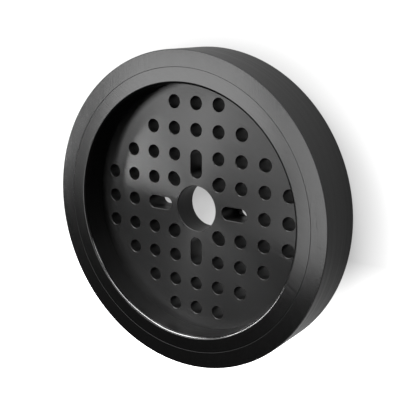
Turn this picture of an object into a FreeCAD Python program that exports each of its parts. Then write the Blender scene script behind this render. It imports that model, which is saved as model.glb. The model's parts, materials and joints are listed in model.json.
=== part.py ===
import FreeCAD, Part
import math
import os

# Wheel for a small robot car, in millimetres: a turned one-piece hub with a perforated disc, and
# a solid rubber tyre bonded round it. It lies on its back face with the recess looking up. Z is
# the spin axis, and the origin is on it, half way through the wheel's width.

# Wheel
wheel_diameter = 96.0
wheel_width = 16.0
tyre_thickness = 5.0

# Hub
web_thickness = 8.0
rim_face_width = 4.0
lip_chamfer = 0.8
bore_diameter = 14.0
bore_chamfer = 0.2

# Hole pattern
grid_pitch = 8.0
hole_diameter = 4.0
wall_margin = 3.0
diagonal_stretch = 0.7

# Heights and radii that follow from them
front = wheel_width / 2
back = -wheel_width / 2
disc_front = back + web_thickness
tread_radius = wheel_diameter / 2
joint_radius = tread_radius - tyre_thickness
recess_radius = joint_radius - rim_face_width - lip_chamfer
bore_radius = bore_diameter / 2
hole_radius = hole_diameter / 2
grid_reach = recess_radius - wall_margin - hole_radius
inner_reach = grid_pitch * math.sqrt(2)


def turned(corners):
    """A ring turned round Z from a closed section of square corners, each (radius, height, chamfer)."""
    places = [FreeCAD.Vector(radius, 0, height) for radius, height, chamfer in corners]
    chamfers = [chamfer for radius, height, chamfer in corners]
    outline = []
    for number, corner in enumerate(places):
        size = chamfers[number]
        before = places[number - 1]
        after = places[(number + 1) % len(places)]
        outline.append(corner + (before - corner).normalize() * size)
        if size:
            outline.append(corner + (after - corner).normalize() * size)
    section = Part.Face(Part.makePolygon(outline + [outline[0]]))
    return section.revolve(FreeCAD.Vector(0, 0, 0), FreeCAD.Vector(0, 0, 1), 360)


def drilled(x, y):
    """The space of one round hole through the disc."""
    start = FreeCAD.Vector(x, y, back - 1)
    return Part.makeCylinder(hole_radius, web_thickness + 2, start)


def milled(near, far, angle):
    """The space of a hole drawn out along a radius, from one end's centre to the other's."""
    start = FreeCAD.Vector(near, -hole_radius, back - 1)
    middle = Part.makeBox(far - near, hole_diameter, web_thickness + 2, start)
    space = middle.fuse([drilled(near, 0), drilled(far, 0)]).removeSplitter()
    space.rotate(FreeCAD.Vector(0, 0, 0), FreeCAD.Vector(0, 0, 1), angle)
    return space


def pattern():
    """Every hole of the disc: a square grid, whose inner eight are drawn out along a radius."""
    spaces = []
    for angle in range(0, 360, 90):
        spaces.append(milled(inner_reach, 2 * grid_pitch, angle))
        spaces.append(milled(inner_reach, inner_reach + diagonal_stretch, angle + 45))
    last = int(grid_reach / grid_pitch)
    for column in range(-last, last + 1):
        for row in range(-last, last + 1):
            outside_inner_holes = abs(column) + abs(row) > 2
            inside_wall = math.hypot(column, row) * grid_pitch <= grid_reach
            if outside_inner_holes and inside_wall:
                spaces.append(drilled(column * grid_pitch, row * grid_pitch))
    return spaces


# Hub: bore, disc, recess wall, lip and rim turned in one section, then the disc is drilled
hub = turned([
    (bore_radius, back, bore_chamfer),
    (joint_radius, back, 0),
    (joint_radius, front, 0),
    (recess_radius, front, lip_chamfer),
    (recess_radius, disc_front, 0),
    (bore_radius, disc_front, bore_chamfer),
])
hub = hub.cut(pattern())

# Tyre: a smooth band with square shoulders, flush with both faces of the hub
tyre = turned([
    (joint_radius, back, 0),
    (tread_radius, back, 0),
    (tread_radius, front, 0),
    (joint_radius, front, 0),
])

os.makedirs("parts", exist_ok=True)
for name, shape in (("hub", hub), ("tyre", tyre)):
    solid = shape.Solids[0]
    solid.exportStep("parts/" + name + ".step")
    box = solid.BoundBox
    print(name, "valid", solid.isValid(), "volume", round(solid.Volume, 1), "mm3, faces", len(solid.Faces))
    print("  size", round(box.XLength, 3), round(box.YLength, 3), round(box.ZLength, 3))
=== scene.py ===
import json
import math

import bpy
from mathutils import Matrix, Vector


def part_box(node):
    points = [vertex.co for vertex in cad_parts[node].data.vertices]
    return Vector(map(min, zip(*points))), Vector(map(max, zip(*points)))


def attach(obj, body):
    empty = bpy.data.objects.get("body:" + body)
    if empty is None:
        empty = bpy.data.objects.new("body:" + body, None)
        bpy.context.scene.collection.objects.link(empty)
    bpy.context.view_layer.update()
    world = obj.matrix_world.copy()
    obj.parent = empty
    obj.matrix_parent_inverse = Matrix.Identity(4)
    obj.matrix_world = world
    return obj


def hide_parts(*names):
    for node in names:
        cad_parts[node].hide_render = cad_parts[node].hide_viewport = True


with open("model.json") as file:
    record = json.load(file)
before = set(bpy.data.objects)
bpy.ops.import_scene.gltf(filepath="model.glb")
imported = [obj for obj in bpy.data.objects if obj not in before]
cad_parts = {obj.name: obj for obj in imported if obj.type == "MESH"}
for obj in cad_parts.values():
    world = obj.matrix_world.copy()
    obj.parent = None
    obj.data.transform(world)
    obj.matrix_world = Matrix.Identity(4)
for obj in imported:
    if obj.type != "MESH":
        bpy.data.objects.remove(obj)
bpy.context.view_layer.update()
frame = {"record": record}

# A robot car wheel: a turned black acetal hub with a perforated disc, and a ground black rubber
# tyre bonded round it. Sizes are metres in the row's frame, and named ones are written in MM.
MM = 0.001

# Sizes read from the frame
hub_low, hub_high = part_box("hub")
tyre_low, tyre_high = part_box("tyre")
back = hub_low.z
front = hub_high.z
joint_radius = hub_high.x
tread_radius = tyre_high.x
mounts = {mount["name"]: mount for mount in frame["record"]["mounts"]}
bore_radius = mounts["bore"]["dims"]["r_mm"] * MM
disc_front = mounts["disc_front"]["pos_m"][2]
slots = mounts["slots_along_x"]["dims"]
hole_radius = slots["hole_r_mm"] * MM
slot_stretch = slots["slot_length_mm"] * MM - 2 * hole_radius
slot_middle = slots["spacing_x_mm"] * MM / 2
grid_pitch = mounts["screws_16_by_32"]["dims"]["spacing_x_mm"] * MM / 2

# Sizes of the turned section and of its edges
rim_face_width = 4.0 * MM
lip_radius = 0.8 * MM
edge_break = 0.15 * MM
joint_break = 0.08 * MM
shoulder_radius = 0.25 * MM
diagonal_stretch = 0.7 * MM
wall_margin = 3.0 * MM
recess_radius = joint_radius - rim_face_width - lip_radius
grid_reach = recess_radius - wall_margin - hole_radius
inner_reach = grid_pitch * math.sqrt(2)

# The finish: how deep the marks are in MM and which way they run in degrees, and scratches that
# follow the photographed ones roughly, each (x, y, length, width, angle)
SANDING_ANGLE = -33
SCRATCH_ANGLE = -20
SANDING_DEPTH = 0.012
TURNING_DEPTH = 0.003
SCRATCH_DEPTH = 0.008
RIM_SCRATCHES = [
    (31.4, 27.8, 4.6, 0.25, -48), (34.8, 22.2, 4.4, 0.25, -37),
    (38.9, 12.4, 5.2, 0.25, -28), (41.4, 7.2, 3.2, 0.25, -17)]
DISC_SCRATCHES = [
    (10.3, 19.8, 11.0, 0.35, -19), (17.5, 19.5, 9.0, 0.35, -17), (26.7, 11.9, 5.0, 0.35, -21),
    (-0.4, 19.5, 3.8, 0.3, -71), (10.0, 12.8, 7.0, 0.3, -23), (19.4, 11.7, 8.5, 0.3, -19)]
TYRE_SCRATCHES = [
    (44.3, 7.4, 4.2, 0.4, 42), (44.3, 6.4, 2.2, 0.3, -17),
    (44.6, 3.2, 3.4, 0.3, -83), (45.6, -2.6, 2.8, 0.3, -32)]

# How finely rounds are drawn, how near two places count as the same, and the least height of a
# normal on a face that counts as flat
ROUND_STEPS = 192
HOLE_STEPS = 40
CLOSE = 0.01 * MM
FLAT = 0.99

# Where the floor's glow, a painted light with painted shade round the wheel, changes: its distance from
# the spin axis, and two places along Y
SHADE_END = 66 * MM
GLOW_NEAR_END = -60 * MM
GLOW_MIDDLE = -10 * MM


# Ways of working


def edit(piece):
    """Opens a piece in edit mode with nothing selected."""
    bpy.ops.object.select_all(action="DESELECT")
    bpy.context.view_layer.objects.active = piece
    piece.select_set(True)
    bpy.ops.object.mode_set(mode="EDIT")
    bpy.ops.mesh.select_all(action="DESELECT")


def done():
    bpy.ops.object.mode_set(mode="OBJECT")


def pick_edges(piece, wanted):
    """Selects the edges whose two ends both satisfy wanted(place)."""
    bpy.ops.mesh.select_mode(type="EDGE")
    done()
    mesh = piece.data
    for face in mesh.polygons:
        face.select = False
    for vertex in mesh.vertices:
        vertex.select = False
    for edge in mesh.edges:
        edge.select = all(wanted(mesh.vertices[end].co) for end in edge.vertices)
    bpy.ops.object.mode_set(mode="EDIT")


def pick_faces(piece, wanted):
    """Selects the faces for which wanted(face) holds."""
    bpy.ops.mesh.select_mode(type="FACE")
    done()
    mesh = piece.data
    for element in (*mesh.vertices, *mesh.edges):
        element.select = False
    for face in mesh.polygons:
        face.select = wanted(face)
    bpy.ops.object.mode_set(mode="EDIT")


def reach(place):
    """How far a place is from the spin axis."""
    return math.hypot(place.x, place.y)


def on_ring(radius, height):
    """A test for places on one circle round the spin axis."""
    return lambda place: abs(reach(place) - radius) < CLOSE and abs(place.z - height) < CLOSE


def finish_modifier(piece, kind, **settings):
    """Adds a modifier and applies it."""
    bpy.ops.object.select_all(action="DESELECT")
    bpy.context.view_layer.objects.active = piece
    piece.select_set(True)
    modifier = piece.modifiers.new(kind.lower(), kind)
    for name, value in settings.items():
        setattr(modifier, name, value)
    bpy.ops.object.modifier_apply(modifier=modifier.name)


def settle(piece):
    """Leaves a piece at the origin, unturned and unscaled, with its place in its mesh."""
    bpy.ops.object.select_all(action="DESELECT")
    bpy.context.view_layer.objects.active = piece
    piece.select_set(True)
    bpy.ops.object.transform_apply(location=True, rotation=True, scale=True)


def smooth(piece):
    """Smooth rounds and crisp corners, with flat faces kept flat."""
    bpy.ops.object.select_all(action="DESELECT")
    bpy.context.view_layer.objects.active = piece
    piece.select_set(True)
    bpy.ops.object.shade_smooth_by_angle(angle=math.radians(30))
    finish_modifier(piece, "WEIGHTED_NORMAL", keep_sharp=True, weight=100)


# Hub


def turned_blank():
    """The hub before drilling: a disc raised from a circle, with its recess sunk in the front."""
    bpy.ops.object.select_all(action="DESELECT")
    bpy.ops.mesh.primitive_circle_add(
        vertices=ROUND_STEPS, radius=joint_radius, fill_type="NGON", location=(0, 0, back))
    hub = bpy.context.object
    hub.name = "turned_hub"
    settle(hub)
    edit(hub)
    bpy.ops.mesh.select_all(action="SELECT")
    bpy.ops.mesh.extrude_region_move(TRANSFORM_OT_translate={"value": (0, 0, front - back)})
    bpy.ops.mesh.inset(thickness=joint_radius - recess_radius)
    bpy.ops.mesh.extrude_region_move(TRANSFORM_OT_translate={"value": (0, 0, disc_front - front)})
    bpy.ops.mesh.select_all(action="SELECT")
    bpy.ops.mesh.normals_make_consistent(inside=False)
    pick_edges(hub, on_ring(recess_radius, front))
    bpy.ops.mesh.bevel(offset=lip_radius, segments=8, profile=0.5, clamp_overlap=False)
    for height in (front, back):
        pick_edges(hub, on_ring(joint_radius, height))
        bpy.ops.mesh.bevel(offset=joint_break, segments=1, clamp_overlap=False)
    done()
    return hub


def cutter(radius, x, y, stretch=0.0, angle=0.0):
    """A drill with a countersink at each face of the disc, drawn out along a radius where asked."""
    bpy.ops.object.select_all(action="DESELECT")
    steps = HOLE_STEPS if radius < bore_radius else ROUND_STEPS
    web = disc_front - back
    bpy.ops.mesh.primitive_cylinder_add(
        vertices=steps, radius=radius, depth=web - 2 * edge_break,
        location=(0, 0, (disc_front + back) / 2), rotation=(0, 0, math.pi / steps))
    tool = bpy.context.object
    settle(tool)
    edit(tool)
    for side in (1, -1):
        pick_faces(tool, lambda face: face.normal.z * side > 0.9)
        bpy.ops.mesh.extrude_region_move(TRANSFORM_OT_translate={"value": (0, 0, side * 2 * edge_break)})
        spread = (radius + 2 * edge_break) / radius
        bpy.ops.transform.resize(value=(spread, spread, 1))
    if stretch:
        bpy.ops.mesh.select_mode(type="VERT")
        done()
        for vertex in tool.data.vertices:
            vertex.select = vertex.co.x > 0
        bpy.ops.object.mode_set(mode="EDIT")
        bpy.ops.transform.translate(value=(stretch, 0, 0))
    done()
    tool.location = (x, y, 0)
    tool.rotation_euler.z = angle
    settle(tool)
    return tool


def hole_cutters():
    """Every hole of the disc as one object: the bore, the grid and the eight drawn-out holes."""
    tools = [cutter(bore_radius, 0, 0)]
    near = slot_middle - slot_stretch / 2
    for quarter in range(4):
        for angle, start, stretch in (
                (quarter * math.pi / 2, near, slot_stretch),
                ((quarter + 0.5) * math.pi / 2, inner_reach, diagonal_stretch)):
            tools.append(cutter(
                hole_radius, start * math.cos(angle), start * math.sin(angle), stretch, angle))
    last = int(grid_reach / grid_pitch)
    for column in range(-last, last + 1):
        for row in range(-last, last + 1):
            outside_inner_holes = abs(column) + abs(row) > 2
            inside_wall = math.hypot(column, row) * grid_pitch <= grid_reach
            if outside_inner_holes and inside_wall:
                tools.append(cutter(hole_radius, column * grid_pitch, row * grid_pitch))
    bpy.ops.object.select_all(action="DESELECT")
    for tool in tools:
        tool.select_set(True)
    bpy.context.view_layer.objects.active = tools[0]
    bpy.ops.object.join()
    return tools[0]


def drilled_hub():
    """The blank with its holes cut and their edges broken."""
    hub = turned_blank()
    tools = hole_cutters()
    finish_modifier(hub, "BOOLEAN", operation="DIFFERENCE", solver="EXACT", object=tools)
    bpy.data.objects.remove(tools)
    smooth(hub)
    return hub


# Tyre


def ground_tyre():
    """The rubber band, raised ring by ring from the joint with the hub."""
    bpy.ops.object.select_all(action="DESELECT")
    bpy.ops.mesh.primitive_circle_add(
        vertices=ROUND_STEPS, radius=tread_radius, fill_type="NGON", location=(0, 0, back))
    tyre = bpy.context.object
    tyre.name = "ground_tyre"
    settle(tyre)
    edit(tyre)
    bpy.ops.mesh.select_all(action="SELECT")
    bpy.ops.mesh.inset(thickness=tread_radius - joint_radius)
    bpy.ops.mesh.delete(type="FACE")
    bpy.ops.mesh.select_all(action="SELECT")
    bpy.ops.mesh.extrude_region_move(TRANSFORM_OT_translate={"value": (0, 0, front - back)})
    bpy.ops.mesh.select_all(action="SELECT")
    bpy.ops.mesh.normals_make_consistent(inside=False)
    for height in (front, back):
        pick_edges(tyre, on_ring(tread_radius, height))
        bpy.ops.mesh.bevel(offset=shoulder_radius, segments=4, profile=0.5, clamp_overlap=False)
        pick_edges(tyre, on_ring(joint_radius, height))
        bpy.ops.mesh.bevel(offset=joint_break, segments=1, clamp_overlap=False)
    done()
    smooth(tyre)
    return tyre


# Materials


def linear(code):
    """A colour's linear values from its sRGB hex code."""
    parts = [int(code[i:i + 2], 16) / 255 for i in (0, 2, 4)]
    return (*[p / 12.92 if p <= 0.04045 else ((p + 0.055) / 1.055) ** 2.4 for p in parts], 1.0)


def add(material, kind, inputs=None, **settings):
    """Adds a node with its settings, and with its inputs set to values or linked to outputs."""
    tree = material.node_tree
    node = tree.nodes.new("ShaderNode" + kind)
    for name, value in settings.items():
        setattr(node, name, value)
    for name, value in (inputs or {}).items():
        if isinstance(value, bpy.types.NodeSocket):
            tree.links.new(value, node.inputs[name])
        else:
            node.inputs[name].default_value = value
    return node


def new_material(name):
    material = bpy.data.materials.new(name)
    material.use_nodes = True
    material.node_tree.nodes.clear()
    return material


def surface(material, inputs):
    """The material's one shader and its output."""
    shader = add(material, "BsdfPrincipled", inputs)
    add(material, "OutputMaterial", {"Surface": shader.outputs["BSDF"]})


def marks(material, size, angle=0.0, detail=2.0):
    """Random marks as long, wide and deep as size, in MM, with the long side at angle degrees from X."""
    place = add(material, "TexCoord").outputs["Object"]
    turned = add(material, "Mapping", {
        "Vector": place, "Rotation": (0, 0, math.radians(angle)), "Scale": Vector(size) * MM},
        vector_type="TEXTURE").outputs["Vector"]
    return add(material, "TexNoise", {"Vector": turned, "Scale": 1.0, "Detail": detail}).outputs["Fac"]


def outward(material):
    """The place on a face measured from the spin axis, and the direction away from it."""
    place = add(material, "TexCoord").outputs["Object"]
    flat = add(material, "VectorMath", {0: place, 1: (1, 1, 0)}, operation="MULTIPLY").outputs["Vector"]
    return flat, add(material, "VectorMath", {0: flat}, operation="NORMALIZE").outputs["Vector"]


def turning_lines(material, pitch):
    """The fine rings that a lathe tool leaves on a face, pitch apart in MM."""
    flat, away = outward(material)
    far = add(material, "VectorMath", {0: flat}, operation="LENGTH").outputs["Value"]
    count = add(material, "Math", {0: far, 1: 1 / (pitch * MM)}, operation="MULTIPLY").outputs["Value"]
    rings = add(material, "TexNoise", {"W": count, "Scale": 1.0, "Detail": 2.0}, noise_dimensions="1D")
    return rings.outputs["Fac"], away


def scratches(material, lines):
    """Long thin scratches, each (x, y, length, width, angle) in MM and degrees, deepest half way along."""
    place = add(material, "TexCoord").outputs["Object"]
    deepest = None
    for x, y, length, width, angle in lines:
        along = add(material, "Mapping", {
            "Vector": place, "Location": (x * MM, y * MM, 0), "Rotation": (0, 0, math.radians(angle)),
            "Scale": (length / 2 * MM, width / 2 * MM, 1)}, vector_type="TEXTURE").outputs["Vector"]
        away = add(material, "VectorMath", {0: along}, operation="LENGTH").outputs["Value"]
        depth = add(
            material, "Math", {0: 1.0, 1: away}, operation="SUBTRACT", use_clamp=True).outputs["Value"]
        if deepest:
            depth = add(material, "Math", {0: deepest, 1: depth}, operation="MAXIMUM").outputs["Value"]
        deepest = depth
    return deepest


def spread(material, value, low, high):
    """Noise, which lies mostly from 0.3 to 0.7, spread from low to high."""
    return add(material, "MapRange", {
        "Value": value, "From Min": 0.3, "From Max": 0.7, "To Min": low, "To Max": high}).outputs["Result"]


def tint(material, value, dark, light):
    """A colour between two sRGB codes."""
    return add(material, "Mix", {0: value, 6: linear(dark), 7: linear(light)}, data_type="RGBA").outputs[2]


def relief(material, height, depth, under=None):
    """A normal bent by height, depth MM deep, over another normal where given."""
    inputs = {"Height": height, "Distance": depth * MM, "Strength": 1.0}
    if under:
        inputs["Normal"] = under
    return add(material, "Bump", inputs).outputs["Normal"]


def acetal_sanded():
    """Black acetal, faced and then rubbed one way on abrasive paper: satin, with fine slanted lines.

    The paper's lines are about 0.05 mm wide, which can't show, so they are drawn 0.4 mm wide."""
    material = new_material("acetal_sanded")
    lines = marks(material, (9, 0.4, 9), SANDING_ANGLE)
    normal = relief(material, lines, SANDING_DEPTH)
    normal = relief(material, scratches(material, RIM_SCRATCHES), -SCRATCH_DEPTH, normal)
    surface(material, {
        "Base Color": tint(material, lines, "040404", "060606"),
        "Roughness": spread(material, lines, 0.14, 0.17), "Normal": normal})
    return material


def acetal_turned_face():
    """Black acetal faced on a lathe: rings too fine to see, which draw the light into a bow tie.

    The tool's feed is about 0.1 mm, drawn 0.3 mm, and a few long scratches cross the rings."""
    material = new_material("acetal_turned_face")
    rings, away = turning_lines(material, 0.3)
    lines = marks(material, (14, 0.5, 14), SCRATCH_ANGLE)
    normal = relief(material, rings, TURNING_DEPTH)
    normal = relief(material, lines, SANDING_DEPTH, normal)
    normal = relief(material, scratches(material, DISC_SCRATCHES), -SCRATCH_DEPTH, normal)
    surface(material, {
        "Base Color": tint(material, rings, "030303", "050505"),
        "Roughness": spread(material, lines, 0.21, 0.24), "Anisotropic": 0.91, "Tangent": away,
        "Normal": normal})
    return material


def acetal_bored():
    """Black acetal bored and drilled: dull and nearly black, with rings that run round the wall.

    The rings are about 0.1 mm apart, drawn 0.5 mm."""
    material = new_material("acetal_bored")
    rings = marks(material, (30, 30, 0.5))
    surface(material, {
        "Base Color": tint(material, rings, "030303", "070707"),
        "Roughness": spread(material, rings, 0.35, 0.5), "Specular IOR Level": 0.2,
        "Normal": relief(material, rings, 0.01)})
    return material


def acetal_burnished():
    """Black acetal on an edge rounded with a form tool and burnished: a clean bright line."""
    material = new_material("acetal_burnished")
    rings = marks(material, (6, 6, 3))
    surface(material, {
        "Base Color": tint(material, rings, "040404", "060606"),
        "Roughness": spread(material, rings, 0.14, 0.18), "Specular IOR Level": 0.6})
    return material


def rubber_sanded():
    """Black polyurethane rubber, faced with the hub and rubbed on paper: satin, with lines and specks.

    Such lines and specks are too fine to show, so they are drawn 0.35 and 0.5 mm wide."""
    material = new_material("rubber_sanded")
    lines = marks(material, (0.35, 6, 6))
    specks = marks(material, (0.5, 0.5, 0.5))
    normal = relief(material, lines, SANDING_DEPTH)
    normal = relief(material, specks, SANDING_DEPTH, normal)
    normal = relief(material, scratches(material, TYRE_SCRATCHES), -SCRATCH_DEPTH, normal)
    surface(material, {
        "Base Color": tint(material, specks, "040404", "070707"),
        "Roughness": spread(material, lines, 0.145, 0.175), "Normal": normal})
    return material


def rubber_ground():
    """Black polyurethane rubber ground to size while it turns: dull, with bands that run round the tread.

    The wheel's grit leaves lines of about 0.1 mm, drawn 0.9 mm."""
    material = new_material("rubber_ground")
    bands = marks(material, (60, 60, 0.9), detail=3.0)
    surface(material, {
        "Base Color": tint(material, bands, "1a1a1a", "242424"),
        "Roughness": spread(material, bands, 0.45, 0.6), "Specular IOR Level": 0.05,
        "Normal": relief(material, bands, 0.02)})
    return material


def paint(piece, materials, choose):
    """Gives a piece its materials, and each face the one that choose(face) names."""
    for material in materials:
        piece.data.materials.append(material)
    for face in piece.data.polygons:
        face.material_index = choose(face)


def hub_finish(face):
    """Which of the hub's finishes a face has: sanded, turned, bored or, on the lip, burnished."""
    inside = reach(face.center) < recess_radius
    if abs(face.normal.z) > FLAT:
        return 1 if inside and face.center.z > back + CLOSE else 0
    on_lip = not inside and reach(face.center) < recess_radius + lip_radius
    return 3 if on_lip else 2


def tyre_finish(face):
    """Which of the tyre's finishes a face has: sanded sides, or ground tread and edges."""
    return int(abs(face.normal.z) < FLAT)


# Camera


def set_camera():
    """The camera of the photograph: upright for someone who looks at the wheel standing on its tread."""
    place = Vector((135.78, 59.71, 192.23)) * MM
    target = Vector((4.37, 0.80, 0.0)) * MM
    roll = math.radians(0.14)
    toward = (place - target).normalized()
    right = Vector((0, 1, 0)).cross(toward).normalized()
    up = toward.cross(right)
    turn = Matrix.Rotation(roll, 3, toward)
    camera = bpy.data.objects.new("camera", bpy.data.cameras.new("camera"))
    camera.data.lens = 69.14
    camera.data.sensor_width = 36.0
    camera.data.clip_start = 10 * MM
    camera.data.clip_end = 10.0
    facing = (turn @ Matrix((right, up, toward)).transposed()).to_4x4()
    camera.matrix_world = Matrix.Translation(place) @ facing
    bpy.context.scene.collection.objects.link(camera)
    bpy.context.scene.camera = camera


# Floor and light


def set_floor():
    """White paper on a light table that glows, with painted shade close to the wheel and painted light,
    brighter, at the near end.
    """
    bpy.ops.object.select_all(action="DESELECT")
    bpy.ops.mesh.primitive_plane_add(size=6.0, location=(0, 0, back))
    floor = bpy.context.object
    floor.name = "floor"
    paper = new_material("paper_painted_light_and_shade")
    place = add(paper, "TexCoord").outputs["Object"]
    along = add(paper, "SeparateXYZ", {"Vector": place}).outputs["Y"]
    # Painted light: the floor glows brighter towards the near end, from Y = -10 mm out to -60 mm
    painted_light_near_end = add(paper, "MapRange", {
        "Value": along, "From Min": GLOW_NEAR_END, "From Max": GLOW_MIDDLE,
        "To Min": 2.2, "To Max": 0.0}).outputs["Result"]
    # Painted shade: the glow drops to under half close round the tread, like a contact shadow
    far = add(paper, "VectorMath", {0: place}, operation="LENGTH").outputs["Value"]
    painted_shade_round_wheel = add(paper, "MapRange", {
        "Value": far, "From Min": tread_radius, "From Max": SHADE_END,
        "To Min": 0.45, "To Max": 1.0}).outputs["Result"]
    glow = add(paper, "Math", {0: painted_light_near_end, 1: painted_shade_round_wheel}, operation="ADD").outputs["Value"]
    # The paper glows by this painted light and painted shade, besides what the lamps give it
    surface(paper, {
        "Base Color": linear("606060"), "Roughness": 0.9, "Specular IOR Level": 0.0,
        "Emission Color": (1, 1, 1, 1), "Emission Strength": glow})
    floor.data.materials.append(paper)


def softbox(name, zenith, bearing, distance, size, power):
    """A soft lamp that looks at the wheel, placed by its angles in degrees and distance in MM."""
    tilt, turn = math.radians(zenith), math.radians(bearing)
    away = Vector((math.sin(tilt) * math.cos(turn), math.sin(tilt) * math.sin(turn), math.cos(tilt)))
    wide = Vector((0, 1, 0)).cross(away).normalized()
    lamp = bpy.data.lights.new(name, "AREA")
    lamp.shape = "RECTANGLE"
    lamp.size, lamp.size_y = size[0] * MM, size[1] * MM
    lamp.energy = power
    box = bpy.data.objects.new(name, lamp)
    facing = Matrix((wide, away.cross(wide), away)).transposed().to_4x4()
    box.matrix_world = Matrix.Translation(away * distance * MM) @ facing
    box.visible_camera = False
    bpy.context.scene.collection.objects.link(box)


def set_light():
    """Softboxes by zenith, bearing, distance, size and watts, and a world pale to the camera alone."""
    softbox("low_left", 55, 178, 700, (66, 278), 3.2)
    softbox("left", 35, 187, 738, (200, 180), 0.66)
    softbox("behind_left", 55, 131, 406, (227, 168), 3.8)
    softbox("behind", 62, 97, 447, (214, 155), 3.1)
    softbox("overhead_behind", 34, 78, 415, (183, 128), 1.4)
    softbox("right", 57, 33, 463, (144, 140), 0.8)
    softbox("overhead_left", 19, 213, 432, (115, 150), 0.24)
    world = bpy.data.worlds.new("studio")
    world.use_nodes = True
    seen = add(world, "LightPath").outputs["Is Camera Ray"]
    strength = add(world, "MapRange", {"Value": seen, "To Min": 0.01, "To Max": 0.9}).outputs["Result"]
    backdrop = world.node_tree.nodes["Background"]
    backdrop.inputs["Color"].default_value = (1, 1, 1, 1)
    world.node_tree.links.new(strength, backdrop.inputs["Strength"])
    bpy.context.scene.world = world
    bpy.context.scene.view_settings.view_transform = "Standard"


set_camera()
set_floor()
set_light()

hub = drilled_hub()
tyre = ground_tyre()
paint(hub, [acetal_sanded(), acetal_turned_face(), acetal_bored(), acetal_burnished()], hub_finish)
paint(tyre, [rubber_sanded(), rubber_ground()], tyre_finish)

for piece, node, slot in ((hub, "hub", "hub_plastic"), (tyre, "tyre", "tyre_rubber")):
    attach(piece, "root")
    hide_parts(node)
